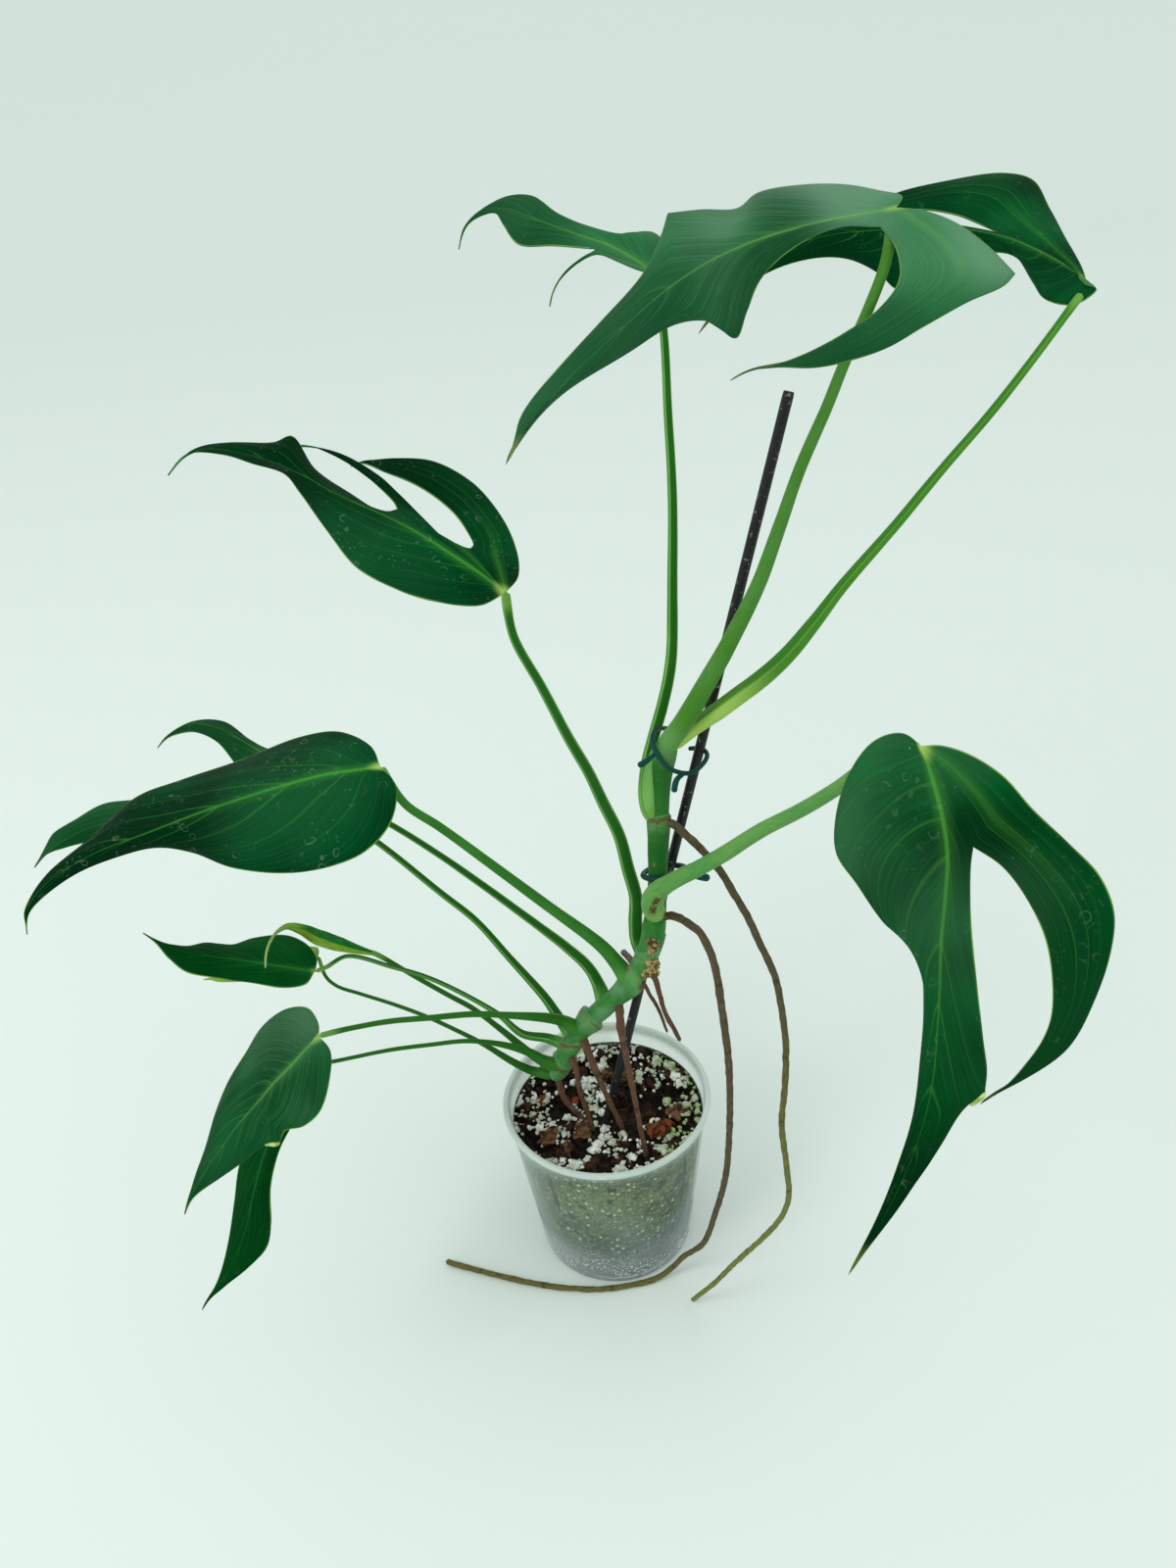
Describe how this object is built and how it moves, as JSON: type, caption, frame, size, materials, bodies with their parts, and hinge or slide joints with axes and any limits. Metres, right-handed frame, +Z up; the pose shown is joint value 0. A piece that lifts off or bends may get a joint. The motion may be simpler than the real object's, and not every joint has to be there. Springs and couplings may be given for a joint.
{
  "type": "potted house plant",
  "caption": "Climbing aroid with long, deeply cut glossy leaves and hanging aerial roots, tied to a black stake in a clear nursery pot.",
  "frame": {"origin": "centre of the pot's foot, on the surface it stands on", "axes": "+Z up along the pot's axis, +Y away from the viewer, +X to the viewer's right"},
  "size_m": [0.542, 0.4112, 0.5696],
  "materials": {
    "leaf": "deep green leaf with a waxy sheen",
    "young_leaf": "lime green rolled leaf, semi gloss",
    "petiole": "smooth green stalk, semi gloss",
    "stem": "smooth green vine with node rings and brown scars",
    "root": "brown ridged aerial root",
    "pot": "clear, slightly milky nursery pot",
    "mix": "loose bark mix with perlite",
    "stake": "black satin",
    "clip": "dark teal coated wire"
  },
  "bodies": {
    "root": {"pot": "pot", "stake": "stake", "potting_mix": "mix", "stem": "stem", "clip_upper": "clip", "clip_lower": "clip", "soil_root_right": "root", "soil_root_middle": "root", "soil_root_left": "root", "soil_root_end": "root", "long_root_right": "root", "long_root_left": "root", "short_root": "root", "short_root_thin": "root", "root_stub": "root", "petiole_top_front": "petiole", "blade_top_front": "leaf", "petiole_top_right": "petiole", "blade_top_right": "leaf", "petiole_top_left": "petiole", "blade_top_left": "leaf", "petiole_mid_left": "petiole", "blade_mid_left": "leaf", "petiole_left_broad": "petiole", "blade_left_broad": "leaf", "petiole_left_upper": "petiole", "blade_left_upper": "leaf", "petiole_left_lower": "petiole", "blade_left_lower": "leaf", "petiole_low_dark": "petiole", "blade_low_dark": "leaf", "petiole_young": "petiole", "blade_young": "young_leaf", "petiole_low_front": "petiole", "blade_low_front": "leaf", "petiole_low_hanging": "petiole", "blade_low_hanging": "leaf", "petiole_small": "petiole", "blade_small": "leaf", "petiole_right": "petiole", "blade_right": "leaf"}
  },
  "joints": []
}
